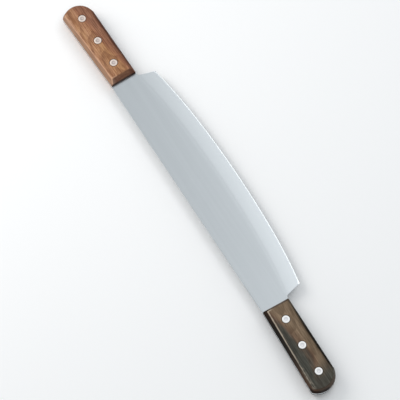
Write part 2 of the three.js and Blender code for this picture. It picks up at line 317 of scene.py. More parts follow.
def blend(tree, amount, first, second, kind="MIX"):
    sockets = {0: amount, 6: first, 7: second}
    return add_node(tree, "Mix", sockets, data_type="RGBA", blend_type=kind).outputs[2]


def cloudy(tree, place, stretch, detail=2.0, roughness=0.5):
    stretched = combine(tree, "MULTIPLY", place, stretch)
    fields = {"Vector": stretched, "Scale": 1.0, "Detail": detail, "Roughness": roughness}
    return add_node(tree, "TexNoise", fields).outputs["Fac"]


def screen_colour(red, green, blue):
    shares = [channel / SCREEN_WHITE for channel in (red, green, blue)]
    return (*Color(shares).from_srgb_to_scene_linear(), 1.0)


print("a mid grey of 128 is", round(screen_colour(128, 128, 128)[0], 3), "in linear light")

# %% [markdown]
# An effect that several finishes share is built once as a node group, a little machine with named
# sockets, and placed in each material with its own values. The nodes could be copied into every
# material, but then a change would have to be made in each. The groups only put out masks and
# values. These helpers open a group with its sockets and place it in a tree.

# %% Group helpers
def start_group(name, inputs, outputs):
    """A new group. An input that starts as None takes a place or a direction, the others a number."""
    tree = bpy.data.node_groups.new(name, "ShaderNodeTree")
    for label, start in inputs.items():
        kind = "NodeSocketVector" if start is None else "NodeSocketFloat"
        socket = tree.interface.new_socket(name=label, in_out="INPUT", socket_type=kind)
        if start is not None:
            socket.default_value = start
    for label in outputs:
        tree.interface.new_socket(name=label, in_out="OUTPUT", socket_type="NodeSocketFloat")
    given = tree.nodes.new("NodeGroupInput").outputs
    result = tree.nodes.new("NodeGroupOutput").inputs
    return tree, given, result


def use_group(tree, group, inputs):
    node = tree.nodes.new("ShaderNodeGroup")
    node.node_tree = group
    for name, value in inputs.items():
        feed(tree, node.inputs[name], value)
    return node.outputs


print("groups so far:", len(bpy.data.node_groups))

# %% [markdown]
# Wood is a solid texture: growth rings run through the whole slab, so a bevel shows the same rings
# as the top, cut at another angle. A picture of wood, wrapped round the slab, would break at every
# arris. The group measures the distance from a pith that lies below the slab and leans a little,
# which makes the rings run out in long pointed arches. Fibres and pores are noise stretched along
# the grain, and slow clouds change the tone over the length of a hand.

# %% Wood figure group
SLAB_SHIFT = (61.0, 23.0, 41.0)
RING_CLOUDS = (0.018, 0.06, 0.06)
RING_WOBBLE = 7.0
LATE_WOOD = (0.35, 0.92)
YEAR_END = (0.94, 1.0)
FIBRES = (0.045, 1.3, 1.3)
PORES = (0.13, 2.4, 2.4)
PORE_NOISE = (0.58, 0.68)
TONE_CLOUDS = (0.014, 0.07, 0.07)


def make_wood_figure():
    inputs = {"Place": None, "Seed": 0.0, "Ring Spacing": 2.6, "Pith Depth": 26.0, "Lean": 0.16}
    tree, given, result = start_group("wood figure", inputs, ("Growth", "Fibre", "Pores", "Cloud"))
    sample = combine(tree, "ADD", given["Place"], combine(tree, "MULTIPLY", given["Seed"], SLAB_SHIFT))
    wobble = minus(tree, cloudy(tree, sample, RING_CLOUDS), NOISE_MEAN)
    axes = add_node(tree, "SeparateXYZ", {0: given["Place"]}).outputs
    lean = times(tree, axes["X"], given["Lean"])
    depth = plus(tree, plus(tree, axes["Z"], given["Pith Depth"]), lean)
    spoke = add_node(tree, "CombineXYZ", {"Y": axes["Y"], "Z": depth}).outputs[0]
    radius = add_node(tree, "VectorMath", {0: spoke}, operation="LENGTH").outputs["Value"]
    radius = plus(tree, radius, times(tree, wobble, RING_WOBBLE))
    year = calculate(tree, "FRACT", calculate(tree, "DIVIDE", radius, given["Ring Spacing"]))
    growth = times(tree, ease(tree, year, LATE_WOOD), ease(tree, year, YEAR_END, start=1.0, end=0.0))
    feed(tree, result["Growth"], growth)
    feed(tree, result["Fibre"], cloudy(tree, sample, FIBRES, detail=5.0, roughness=0.65))
    feed(tree, result["Pores"], ease(tree, cloudy(tree, sample, PORES), PORE_NOISE))
    feed(tree, result["Cloud"], cloudy(tree, sample, TONE_CLOUDS))
    return tree


wood_figure = make_wood_figure()
print("wood figure has", len(wood_figure.nodes), "nodes")

# %% [markdown]
# The heart of a trunk is darker than its outer wood, and a slab sawn aslant shows both, with a
# wavering border between them. The group gives a mask on one side of a slanting curve, softened and
# pushed about by noise. The dark handle uses it for its greenish black half, and the pale one for
# its red streak. A second group finds end grain, the faces that cut across the fibres: they drink
# more oil and look darker. These faces could be painted one by one, but their normal tells them
# from the others.

# %% Heartwood and end grain groups
HEART_SHIFT = (17.0, 31.0, 11.0)
HEART_CLOUDS = (0.03, 0.16, 0.16)
END_GRAIN_FACING = (0.25, 0.8)


def make_heart_side():
    inputs = {"Place": None, "Seed": 0.0, "Side": 1.0, "Border": 0.0, "Slant": 0.0}
    inputs |= {"Bend": 0.0, "Softness": 6.0, "Waver": 10.0}
    tree, given, result = start_group("heart side", inputs, ("Mask",))
    sample = combine(tree, "ADD", given["Place"], combine(tree, "MULTIPLY", given["Seed"], HEART_SHIFT))
    push = minus(tree, cloudy(tree, sample, HEART_CLOUDS, detail=3.0, roughness=0.6), NOISE_MEAN)
    axes = add_node(tree, "SeparateXYZ", {0: given["Place"]}).outputs
    steepness = plus(tree, times(tree, axes["X"], given["Bend"]), given["Slant"])
    border = plus(tree, times(tree, axes["X"], steepness), given["Border"])
    pushed = plus(tree, axes["Y"], times(tree, push, given["Waver"]))
    beyond = times(tree, minus(tree, pushed, border), given["Side"])
    half = times(tree, given["Softness"], 0.5)
    feed(tree, result["Mask"], ease(tree, beyond, (times(tree, half, -1.0), half)))
    return tree


def make_end_grain():
    tree, given, result = start_group("end grain", {"Normal": None}, ("Mask",))
    lengthwise = add_node(tree, "SeparateXYZ", {0: given["Normal"]}).outputs["X"]
    feed(tree, result["Mask"], ease(tree, calculate(tree, "ABSOLUTE", lengthwise), END_GRAIN_FACING))
    return tree


heart_side = make_heart_side()
end_grain = make_end_grain()
print("heart side has", len(heart_side.nodes), "nodes, end grain", len(end_grain.nodes))

# %% [markdown]
# Hands and cloths polish the arrises first, and a worn arris also catches the light, so its pale paint is
# wear and a painted highlight together. Corners get painted shade. A shader can look for bent places by
# itself, but it takes every fillet alike. So the meshes carry painted values, and two of them are for this:
# one is 1 along a worn and lit edge, and another is 1 in a shaded corner. The group breaks such a value up
# with noise, so that the marks come in stretches and not as an even stripe.

# %% Broken marks group
MARK_PATCHES = (0.5, 1.0, 1.0)
MARK_SWING = 2.0
MARK_LIMITS = (0.15, 0.9)


def make_broken_marks():
    inputs = {"Place": None, "Edge": 0.0, "Grain": 0.35, "Unevenness": 0.6}
    tree, given, result = start_group("broken marks", inputs, ("Wear",))
    place = combine(tree, "MULTIPLY", given["Place"], given["Grain"])
    patches = minus(tree, cloudy(tree, place, MARK_PATCHES, detail=4.0, roughness=0.6), NOISE_MEAN)
    drop = times(tree, times(tree, patches, given["Unevenness"]), MARK_SWING)
    kept = ease(tree, plus(tree, given["Edge"], drop), MARK_LIMITS)
    feed(tree, result["Wear"], times(tree, kept, given["Edge"]))
    return tree


broken_marks = make_broken_marks()
print("broken marks has", len(broken_marks.nodes), "nodes")

# %% [markdown]
# Metal that was ground or brushed keeps fine lines in the direction of the belt. A shader can draw
# its highlights out to look brushed, but from near by there are no lines to see. The group is noise
# stretched along one axis, chosen by the vector that is fed in. Hairline scratches from use lie at
# all angles: thin bands cut out of three turned, stretched noises. The blade and the rivets use both.

# %% Metal mark groups
BELT_LINES = (0.03, 4.0, 4.0)
BELT_BANDS = (0.006, 0.35, 0.35)
SCRATCH_TURNS = (0.5, -0.9, 1.7)
SCRATCH_SHIFT = Vector((37.0, 19.0, 0.0))
SCRATCH_THREADS = (0.035, 2.4, 2.4)
SCRATCH_NOISE = (0.71, 0.76)


def make_grind_lines():
    inputs = {"Place": None, "Fineness": 1.0}
    tree, given, result = start_group("grind lines", inputs, ("Lines", "Bands"))
    place = combine(tree, "MULTIPLY", given["Place"], given["Fineness"])
    feed(tree, result["Lines"], cloudy(tree, place, BELT_LINES, detail=4.0, roughness=0.7))
    feed(tree, result["Bands"], cloudy(tree, place, BELT_BANDS))
    return tree


def make_hairlines():
    tree, given, result = start_group("hairlines", {"Place": None, "Amount": 0.5}, ("Scratches",))
    total = 0.0
    for number, turn in enumerate(SCRATCH_TURNS):
        spot = {"Vector": given["Place"], "Angle": turn}
        turned = add_node(tree, "VectorRotate", spot, rotation_type="Z_AXIS").outputs[0]
        moved = combine(tree, "ADD", turned, SCRATCH_SHIFT * number)
        threads = cloudy(tree, moved, SCRATCH_THREADS, detail=1.0)
        total = plus(tree, ease(tree, threads, SCRATCH_NOISE), total)
    feed(tree, result["Scratches"], times(tree, total, given["Amount"]))
    return tree


grind_lines = make_grind_lines()
hairlines = make_hairlines()
print("grind lines and hairlines have", len(grind_lines.nodes), "and", len(hairlines.nodes), "nodes")

# %% [markdown]
# Every finish starts from a new material and reads what its mesh carries. Grain and brushing need a
# place to start from. The coordinates of the object would do, but a lower scale is turned over and
# a handle leans, so each vertex remembers its place in the stock that the piece was cut from. Fine
# relief is given to the light by a Bump node, in millimetres, because modelling it would take
# millions of faces.

# %% Material helpers
def start_material(name):
    material = bpy.data.materials.new(name)
    material.use_nodes = True
    tree = material.node_tree
    return material, tree, tree.nodes["Principled BSDF"].inputs


def painted(tree, name):
    return add_node(tree, "Attribute", {}, attribute_name=name).outputs["Fac"]


def stock_place(tree):
    return add_node(tree, "Attribute", {}, attribute_name="stock").outputs["Vector"]


def raise_surface(tree, height, distance):
    return add_node(tree, "Bump", {"Height": height, "Distance": distance * MM}).outputs["Normal"]


readers = (painted, stock_place)
print("a material reads its mesh through", [reader.__name__ for reader in readers])

# %% [markdown]
# The blade is stainless steel with a satin face. Brushing runs along the flat, and the bevel was
# ground square to the edge on a belt, so its lines run across. Three finishes on three sets of
# faces would do, but their borders would be hard. So values painted on the mesh, ground and honed,
# tell the zones apart, and fine grows towards the edge, where the belt pressed hardest and left the
# brightest metal. The honed strip is nearly a mirror. Colour comes from the lights, so the base is
# a cool grey that lines and scratches hardly change.

# %% Blade steel
STEEL_GREY = screen_colour(213, 218, 221)
STEEL_BRIGHT = screen_colour(216, 220, 222)
STEEL_SHADE = screen_colour(210, 215, 218)
STEEL_COARSE = screen_colour(202, 207, 210)
STEEL_FINE = screen_colour(203, 208, 211)
LINE_SHARE = 0.15
STEEL_ROUGHNESS = (0.28, 0.34)
HONED_POLISH = 0.12
SCRATCH_ROUGHNESS = 0.1
SCRATCH_DEPTH = 0.5
STEEL_RELIEF = 0.0007


def make_blade_steel():
    material, tree, shader = start_material("satin_steel")
    place = stock_place(tree)
    ground = painted(tree, "ground")
    honed = painted(tree, "honed")
    quarter_turn = {"Vector": place, "Angle": math.pi / 2}
    turned = add_node(tree, "VectorRotate", quarter_turn, rotation_type="Z_AXIS").outputs[0]
    along = use_group(tree, grind_lines, {"Place": place, "Fineness": 0.8})
    across = use_group(tree, grind_lines, {"Place": turned, "Fineness": 1.1})
    scratches = use_group(tree, hairlines, {"Place": place, "Amount": 0.35})["Scratches"]
    lines = blend(tree, ground, along["Lines"], across["Lines"])

    flat_tone = blend(tree, ease(tree, along["Bands"], NOISE_MIDDLE), STEEL_SHADE, STEEL_GREY)
    bevel_tone = blend(tree, painted(tree, "fine"), STEEL_COARSE, STEEL_FINE)
    colour = blend(tree, ground, flat_tone, bevel_tone)
    colour = blend(tree, times(tree, lines, LINE_SHARE), colour, STEEL_BRIGHT)
    colour = blend(tree, honed, colour, STEEL_BRIGHT)
    feed(tree, shader["Base Color"], blend(tree, scratches, colour, STEEL_BRIGHT))

    rough = ease(tree, lines, NOISE_WIDE, *STEEL_ROUGHNESS)
    rough = minus(tree, rough, times(tree, honed, HONED_POLISH))
    feed(tree, shader["Roughness"], plus(tree, rough, times(tree, scratches, SCRATCH_ROUGHNESS)))
    shader["Metallic"].default_value = 1.0
    relief = minus(tree, lines, times(tree, scratches, SCRATCH_DEPTH))
    feed(tree, shader["Normal"], raise_surface(tree, relief, STEEL_RELIEF))
    return material


blade_steel = make_blade_steel()
print("satin steel has", len(blade_steel.node_tree.nodes), "nodes")

# %% [markdown]
# The rivets are soft white metal, driven home and sanded flush with the wood. Sanding leaves lines along
# the handle on the flat ring, while the dished middle is painted a duller grey, most on the slope of the
# dish, where it shows as a grey circle. The painted value dish tells the two apart. The pale handle's
# rivets get a darker, warmer colour than the dark one's. One metal with a mask would do, but two metals of
# the same kind with different colours are easier to read.

# %% Rivet metal
RIVET_RINGS = {"dark": screen_colour(252, 251, 249), "pale": screen_colour(235, 220, 210)}
RIVET_DISHES = {"dark": screen_colour(207, 207, 211), "pale": screen_colour(160, 150, 148)}
RIVET_MOTTLE = (0.9, 0.9, 0.9)
DISH_DARKENING = (0.55, 0.95)
SANDING_SHARE = 0.25
SANDING_DEPTH = 0.6
RIVET_ROUGHNESS = (0.4, 0.5)
DISH_ROUGHNESS = 0.1
RIVET_RELIEF = 0.002


def make_rivet_metal(finish):
    material, tree, shader = start_material(f"{finish}_handle_rivet_metal")
    place = stock_place(tree)
    sanding = use_group(tree, grind_lines, {"Place": place, "Fineness": 2.0})["Lines"]
    scratches = use_group(tree, hairlines, {"Place": place, "Amount": 0.6})["Scratches"]
    mottle = cloudy(tree, place, RIVET_MOTTLE, detail=3.0)
    dull = times(tree, painted(tree, "dish"), ease(tree, mottle, NOISE_MIDDLE, *DISH_DARKENING))
    sanded = times(tree, sanding, SANDING_SHARE)
    colour = blend(tree, sanded, RIVET_RINGS[finish], RIVET_DISHES[finish])
    feed(tree, shader["Base Color"], blend(tree, dull, colour, RIVET_DISHES[finish]))
    rough = ease(tree, sanding, NOISE_MIDDLE, *RIVET_ROUGHNESS)
    feed(tree, shader["Roughness"], plus(tree, rough, times(tree, dull, DISH_ROUGHNESS)))
    shader["Metallic"].default_value = 1.0
    relief = minus(tree, times(tree, sanding, SANDING_DEPTH), scratches)
    feed(tree, shader["Normal"], raise_surface(tree, relief, RIVET_RELIEF))
    return material


rivet_metals = {finish: make_rivet_metal(finish) for finish in FINISHES}
print("rivet metal has", len(rivet_metals["dark"].node_tree.nodes), "nodes")

# %% [markdown]
# The two handles are of different woods. The dark one is brown, with a greenish black heart on the
# spine side and a red flare where the two meet. The pale one is reddish, with a darker streak
# towards the edge. Each could have a material of its own, but both are made of the same marks, so a
# timber is only a small table of colours and numbers for one recipe. A share says how strongly a
# mark shows. The flare's may be over 1, because its mask never passes a quarter.

# %% Timbers
DARK_TIMBER = {
    "tone": screen_colour(154, 131, 107),
    "second_tone": screen_colour(140, 120, 98),
    "late_wood": screen_colour(106, 88, 70),
    "heart": screen_colour(82, 84, 78),
    "heart_streak": screen_colour(65, 66, 61),
    "flare": screen_colour(120, 70, 48),
    "pore": screen_colour(46, 38, 32),
    "end_grain": screen_colour(74, 58, 46),
    # The next five colours are mostly painted light and shade: the pale arris colour is wear with a painted
    # highlight, the next two are the spine flank's painted shade, then come the edge flank's and the seams'
    # painted shade.
    "wear_and_highlight": screen_colour(196, 181, 162),
    "spine_flank_shading": screen_colour(22, 16, 13),
    "spine_flank_shading_at_butt": screen_colour(90, 67, 54),
    "edge_flank_shade": screen_colour(16, 13, 10),
    "seam_shade": screen_colour(22, 18, 16),
    "ring_spacing": 3.2,
    "lean": 0.1,
    "heart_towards_spine": 1,
    "heart_border": 20.0,
    "heart_slant": -0.6,
    "heart_bend": 0.0045,
    "heart_softness": 15.0,
    "heart_waver": 18.0,
    "heart_share": 0.95,
    "flare_share": 1.8,
    "fibre_share": 0.5,
    "butt_share": 0.9,
    "spine_flank_shading_share": 0.93,
    "edge_flank_shade_share": 0.95,
    "wear_and_highlight_share": 0.95,
    "gloss": 0.1,
}
PALE_TIMBER = {
    "tone": screen_colour(208, 160, 122),
    "second_tone": screen_colour(197, 150, 105),
    "late_wood": screen_colour(145, 99, 69),
    "heart": screen_colour(166, 117, 91),
    "heart_streak": screen_colour(132, 90, 74),
    "flare": screen_colour(140, 70, 48),
    "pore": screen_colour(78, 48, 37),
    "end_grain": screen_colour(90, 56, 45),
    # The next five colours are mostly painted light and shade: the pale arris colour is wear with a painted
    # highlight, the next two are the spine flank's painted sheen, then come the edge flank's and the seams'
    # painted shade.
    "wear_and_highlight": screen_colour(212, 168, 138),
    "spine_flank_shading": screen_colour(157, 130, 114),
    "spine_flank_shading_at_butt": screen_colour(165, 141, 124),
    "edge_flank_shade": screen_colour(70, 40, 30),
    "seam_shade": screen_colour(48, 28, 22),
    "ring_spacing": 3.6,
    "lean": 0.14,
    "heart_towards_spine": -1,
    "heart_border": -12.0,
    "heart_slant": 0.12,
    "heart_bend": 0.0,
    "heart_softness": 10.0,
    "heart_waver": 10.0,
    "heart_share": 0.8,
    "flare_share": 1.6,
    "fibre_share": 0.85,
    "butt_share": 0.3,
    "spine_flank_shading_share": 0.6,
    "edge_flank_shade_share": 0.85,
    "wear_and_highlight_share": 0.8,
    "gloss": 0.22,
}
TIMBERS = {"dark": DARK_TIMBER, "pale": PALE_TIMBER}
print("a timber has", len(DARK_TIMBER), "values")

# %% [markdown]
# Under all painted marks lies the wood's own colour: a ground tone clouded by a second, late wood lines, a
# heart or streak colour behind its slanting border, shaded fibres and dark pores. Towards the butt the end
# grain soaks up oil, so the heart colour comes through there too. The layers are blended one over the
# other, from the broad to the fine. A single ramp over one noise would be shorter, but then no layer could
# be tuned without the others.

# %% Bare wood
LATE_WOOD_SHARE = 0.55
PORE_SHARE = 0.6
BUTT_SOAK = 38.0
BUTT_FULL = 10.0


def heart_mask(tree, timber, place, seed, spine_side):
    values = {
        "Place": place,
        "Seed": seed,
        "Side": spine_side * timber["heart_towards_spine"],
        "Border": spine_side * timber["heart_border"],
        "Slant": spine_side * timber["heart_slant"],
        "Bend": spine_side * timber["heart_bend"],
        "Softness": timber["heart_softness"],
        "Waver": timber["heart_waver"],
    }
    return use_group(tree, heart_side, values)["Mask"]


def bare_wood(tree, timber, figure, heart, along):
    """The timber's own colour. The heart is a mask, and along is the distance from the front."""
    fibre = figure["Fibre"]
    colour = blend(tree, ease(tree, figure["Cloud"], NOISE_NARROW), timber["tone"], timber["second_tone"])
    colour = blend(tree, times(tree, figure["Growth"], LATE_WOOD_SHARE), colour, timber["late_wood"])
    flare = times(tree, heart, minus(tree, 1.0, heart))
    colour = blend(tree, times(tree, flare, timber["flare_share"]), colour, timber["flare"])
    soak = (handle_length - BUTT_SOAK, handle_length - BUTT_FULL)
    butt = ease(tree, along, soak, 0.0, timber["butt_share"])
    dark_part = calculate(tree, "MAXIMUM", times(tree, heart, timber["heart_share"]), butt)
    heart_tone = blend(tree, ease(tree, fibre, NOISE_NARROW), timber["heart"], timber["heart_streak"])
    colour = blend(tree, dark_part, colour, heart_tone)
    fibre_shade = ease(tree, fibre, NOISE_MIDDLE, 0.0, timber["fibre_share"])
    colour = blend(tree, fibre_shade, colour, timber["late_wood"], "MULTIPLY")
    return blend(tree, times(tree, figure["Pores"], PORE_SHARE), colour, timber["pore"])


print(f"the butt is soaked from {handle_length - BUTT_SOAK:.1f} mm on")

# %% [markdown]
# Four marks are painted on the wood, and most of that paint is painted light and shade. The spine flank
# gets painted shade on the dark handle and a painted sheen on the pale one, broken up more between the
# fibres than on them. The edge flank gets painted shade. Arrises are painted pale, as wear and a painted
# highlight together, and seams get painted shade, both in broken stretches. One layer over the whole handle
# would be simpler, but each mark lies on places of its own, so each has a painted value of its own.

# %% Painted shade, sheen and wear
SHADING_ON_FIBRES = 0.86
ARRIS_UNEVENNESS = 0.8
SEAM_GRAIN = 0.8


def marks_of_use(tree, timber, place, fibre):
    """Masks of the spine flank's painted shade and sheen, the edge flank's painted shade, the arrises' wear
    with painted highlight and the seams' painted shade.
    """
    most = timber["spine_flank_shading_share"]
    broken_shading = ease(tree, fibre, NOISE_MIDDLE, most, most * SHADING_ON_FIBRES)
    spine_flank_shading = times(tree, painted(tree, "spine_flank_shading"), broken_shading)
    edge_flank_shade = times(tree, painted(tree, "edge_flank_shade"), timber["edge_flank_shade_share"])
    rubbed_and_lit = {"Place": place, "Edge": painted(tree, "arris"), "Unevenness": ARRIS_UNEVENNESS}
    shaded_seams = {"Place": place, "Edge": painted(tree, "seam_shade"), "Grain": SEAM_GRAIN}
    arris = use_group(tree, broken_marks, rubbed_and_lit)["Wear"]
    seam_shade = use_group(tree, broken_marks, shaded_seams)["Wear"]
    return spine_flank_shading, edge_flank_shade, arris, seam_shade


# The share printed below belongs to the spine flank's painted shade and sheen.
print(f"on the fibres {1 - SHADING_ON_FIBRES:.0%} of the grease is wiped off")

# %% [markdown]
# A scale's wood is its bare timber under the darker end grain and the painted marks: shade and sheen on the
# flanks, shade in the seams, and pale arrises that are wear and painted highlight together. The painted
# flanks are matt, since a shine on them would catch the light box on a steep side, and the arrises shine a
# little more. The upper and lower scale of a handle could share one material, but they come from different
# slabs, so each gets its own seed. The spine lies on the plus or minus Y side of a scale, depending on
# which handle it is on and which way up.

# %% Scale woods
SPINE_SHADING_CHANGE = 45.0
END_GRAIN_SHARE = 0.85
SEAM_SHARE = 0.8
WOOD_ROUGHNESS = (0.42, 0.6)
ARRIS_POLISH = 0.08
FIBRE_DEPTH = 0.6
WOOD_RELIEF = 0.05
FIRST_SEED = 1.0
SPINE_SIDES = {("dark", "upper"): -1, ("dark", "lower"): 1, ("pale", "upper"): 1, ("pale", "lower"): -1}


def make_wood(name, timber, seed, spine_side):
    material, tree, shader = start_material(name)
    place = stock_place(tree)
    along = add_node(tree, "SeparateXYZ", {0: place}).outputs["X"]
    slab = {"Place": place, "Seed": seed, "Ring Spacing": timber["ring_spacing"], "Lean": timber["lean"]}
    figure = use_group(tree, wood_figure, slab)
    heart = heart_mask(tree, timber, place, seed, spine_side)
    spine_flank_shading, edge_flank_shade, arris, seam_shade = marks_of_use(tree, timber, place, figure["Fibre"])
    normal = add_node(tree, "TexCoord", {}).outputs["Normal"]
    across = times(tree, use_group(tree, end_grain, {"Normal": normal})["Mask"], END_GRAIN_SHARE)
    # The spine flank's painted shade and sheen change colour towards the butt.
    nearing_butt = ease(tree, along, (SPINE_SHADING_CHANGE, handle_length))
    spine_flank_shading_tone = blend(tree, nearing_butt, timber["spine_flank_shading"], timber["spine_flank_shading_at_butt"])

    colour = bare_wood(tree, timber, figure, heart, along)
    colour = blend(tree, across, colour, timber["end_grain"])
    # Over the bare wood: painted shade and sheen on the flanks, the arrises' wear with painted highlight,
    # and painted shade in the seams.
    colour = blend(tree, spine_flank_shading, colour, spine_flank_shading_tone)
    colour = blend(tree, edge_flank_shade, colour, timber["edge_flank_shade"])
    colour = blend(tree, times(tree, arris, timber["wear_and_highlight_share"]), colour, timber["wear_and_highlight"])
    colour = blend(tree, times(tree, seam_shade, SEAM_SHARE), colour, timber["seam_shade"])
    feed(tree, shader["Base Color"], colour)

    shader["Specular IOR Level"].default_value = timber["gloss"]
    rough = ease(tree, figure["Fibre"], NOISE_WIDE, *WOOD_ROUGHNESS)
    rough = plus(tree, rough, calculate(tree, "MAXIMUM", spine_flank_shading, edge_flank_shade))
    feed(tree, shader["Roughness"], minus(tree, rough, times(tree, arris, ARRIS_POLISH)))
    relief = minus(tree, times(tree, figure["Fibre"], FIBRE_DEPTH), figure["Pores"])
    feed(tree, shader["Normal"], raise_surface(tree, relief, WOOD_RELIEF))
    return material


woods = {}
for number, ((finish, face), spine_side) in enumerate(SPINE_SIDES.items()):
    name = f"{finish}_{face}_wood"
    woods[finish, face] = make_wood(name, TIMBERS[finish], FIRST_SEED + number, spine_side)
print("wood materials:", [wood.name for wood in woods.values()])

# %% [markdown]
# The pieces could be cut out of blocks with Boolean modifiers, but here the meshes are made vertex
# by vertex, so that every arris can be rounded and every value painted. Rings of vertices are
# bridged with four-sided faces. A flat or gently bulging plate with holes is filled with a
# constrained Delaunay triangulation, which keeps the outline, the holes and any lines drawn on the
# plate as edges of the mesh. It fills the holes too, so the triangles in them are left out.

# %% Mesh helpers
FILL_INSIDE = 1
FILL_PRECISION = 1e-6


def ring(shape, points, height):
    return [shape.verts.new((point[0], point[1], height)) for point in points]


def bridge(shape, lower, upper):
    for number, corner in enumerate(lower):
        following = (number + 1) % len(lower)
        shape.faces.new((corner, lower[following], upper[following], upper[number]))


def circle(centre, radius, segments):
    turns = [2 * math.pi * number / segments for number in range(segments)]
    return [(centre[0] + radius * math.cos(turn), centre[1] + radius * math.sin(turn)) for turn in turns]


def fill_plate(shape, outline, holes=(), lines=()):
    """Triangles inside the outline and outside the round holes, with the lines among their edges."""
    corners = []
    edges = []
    loops = [(outline, True), *((hole, True) for hole in holes), *((line, False) for line in lines)]
    for loop, is_closed in loops:
        start = len(corners)
        corners.extend(loop)
        edges.extend((start + number, start + number + 1) for number in range(len(loop) - 1))
        if is_closed:
            edges.append((len(corners) - 1, start))
    flat = [corner.co.to_2d() for corner in corners]
    filled = delaunay_2d_cdt(flat, edges, [], FILL_INSIDE, FILL_PRECISION)
    spots, _, triangles, sources, _, _ = filled
    rounds = []
    for hole in holes:
        middle = sum((corner.co.to_2d() for corner in hole), Vector((0, 0))) / len(hole)
        rounds.append((middle, (hole[0].co.to_2d() - middle).length))
    for triangle in triangles:
        middle = sum((spots[number] for number in triangle), Vector((0, 0))) / len(triangle)
        if all((middle - centre).length > radius for centre, radius in rounds):
            shape.faces.new([corners[sources[number][0]] for number in triangle])


print("mesh helpers:", [helper.__name__ for helper in (ring, bridge, circle, fill_plate)])

# %% [markdown]
# A finished shape is cleaned, turned the right way out and shaded smooth, except over edges that are really
# sharp. Each vertex remembers where it lies in the stock that the piece is cut from, so that grain and
# brushing follow the piece. It is then set in its place and named, its solid is hidden, and it is tied to
# the knife's one body, because nothing on this knife moves.

# %% Finish a piece
MERGE_DISTANCE = 1e-5
SHARP_ANGLE = math.radians(40)


def finish_piece(shape, name, matrix, material, node, creases=()):
    bmesh.ops.remove_doubles(shape, verts=shape.verts, dist=MERGE_DISTANCE)
    bmesh.ops.dissolve_degenerate(shape, edges=shape.edges, dist=MERGE_DISTANCE)
    bmesh.ops.recalc_face_normals(shape, faces=shape.faces)
    for face in shape.faces:
        face.smooth = True
    for edge in shape.edges:
        is_crease = edge.verts[0] in creases and edge.verts[1] in creases
        edge.smooth = edge.calc_face_angle(math.pi) < SHARP_ANGLE and not is_crease
    stock = shape.verts.layers.float_vector.new("stock")
    for corner in shape.verts:
        corner[stock] = corner.co
    bmesh.ops.transform(shape, matrix=Matrix.Scale(MM, 4) @ matrix, verts=shape.verts)
    mesh = bpy.data.meshes.new(name)
    shape.to_mesh(mesh)
    shape.free()
    mesh.materials.append(material)
    piece = bpy.data.objects.new(name, mesh)
    bpy.context.collection.objects.link(piece)
    piece.modifiers.new("even_shading", "WEIGHTED_NORMAL").keep_sharp = True
    piece.matrix_world = knife_matrix
    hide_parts(node)
    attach(piece, "root")
    print(name, "has", len(mesh.polygons), "faces")
    return piece


print(f"edges over {math.degrees(SHARP_ANGLE):.0f} degrees stay sharp")

# %% [markdown]
# No corner of the handles is left sharp, so the outlines need arcs. A Bevel modifier could round a
# finished mesh, but arcs drawn in the outline have the same number of points at every level, and
# levels that match can be bridged. A fillet is the arc that touches both sides of a corner.

# %% Arcs and fillets
FILLET_STEPS = 5


def fillet(corner, first, second, radius, steps=FILLET_STEPS):
    """An arc that rounds a corner, from the side that lies towards first to the one towards second."""
    first = (Vector(first) - Vector(corner)).normalized()
    second = (Vector(second) - Vector(corner)).normalized()
    half = first.angle(second) / 2
    centre = Vector(corner) + (first + second).normalized() * radius / math.sin(half)
    start = Vector(corner) + first * radius / math.tan(half) - centre
    end = Vector(corner) + second * radius / math.tan(half) - centre
    sweep = math.atan2(start.x * end.y - start.y * end.x, start.dot(end))
    return [centre + Matrix.Rotation(sweep * number / steps, 2) @ start for number in range(steps + 1)]


def arc(centre, radius, start, end, steps):
    turns = [start + (end - start) * number / steps for number in range(steps + 1)]
    return [centre + radius * Vector((math.cos(turn), math.sin(turn))) for turn in turns]


def between(start, end, steps):
    """The points that divide a line into so many steps, without its ends."""
    return [start.lerp(end, number / steps) for number in range(1, steps)]


print("a fillet has", len(fillet((0, 0), (1, 0), (0, 1), 0.1)), "points")

# %% [markdown]
# The butt of a handle is one arc with its centre nearer to the spine. It leaves the edge side gently
# and ends in a rounded corner on the spine side, as the heel of the hand likes it. A half circle
# would be simpler, but the two sides would then be alike. The sides flare a little towards the
# butt, and where a side meets the arc is worked out as for any line and circle. All of it can be
# drawn in, by one amount at the sides and another at the butt.

# %% Round butt
BUTT_OFFSET = 3.0
SPINE_CORNER = 4.0
ARC_STEPS = 40
CORNER_STEPS = 12

edge_round = handle_length - edge_corner.x
butt_radius = (edge_round**2 + (edge_corner.y + BUTT_OFFSET) ** 2) / (2 * edge_round)
butt_centre = Vector((handle_length - butt_radius, -BUTT_OFFSET))


def side_slope(side, butt):
    return (edge_corner.y - butt - front_half + side) / edge_corner.x


def butt_corner(way, side, butt):
    """Where the round butt meets the edge side, way 1, or the spine side, way -1."""
    half = front_half - side
    slope = side_slope(side, butt)
    reach = half - way * butt_centre.y
    squared = 1 + slope**2
    linear = slope * reach - butt_centre.x
    constant = butt_centre.x**2 + reach**2 - (butt_radius - butt) ** 2
    x = (-linear + math.sqrt(linear**2 - squared * constant)) / squared
    return Vector((x, way * (half + slope * x)))


def butt_outline(side, butt):
    """From the spine side round its corner and the butt to the edge side."""
    edge_end = butt_corner(1, side, butt) - butt_centre
    corner_centre = butt_corner(-1, side + SPINE_CORNER, butt + SPINE_CORNER)
    towards = corner_centre - butt_centre
    start = -math.pi / 2 - math.atan(side_slope(side, butt))
    turn = math.atan2(towards.y, towards.x)
    end = math.atan2(edge_end.y, edge_end.x)
    points = arc(corner_centre, SPINE_CORNER, start, turn, CORNER_STEPS)
    points += arc(butt_centre, butt_radius - butt, turn, end, ARC_STEPS)[1:]
    return points


flare = math.degrees(math.atan(side_slope(0, 0)))
print(f"butt radius {butt_radius:.1f} mm, sides flare {flare:.2f} degrees")

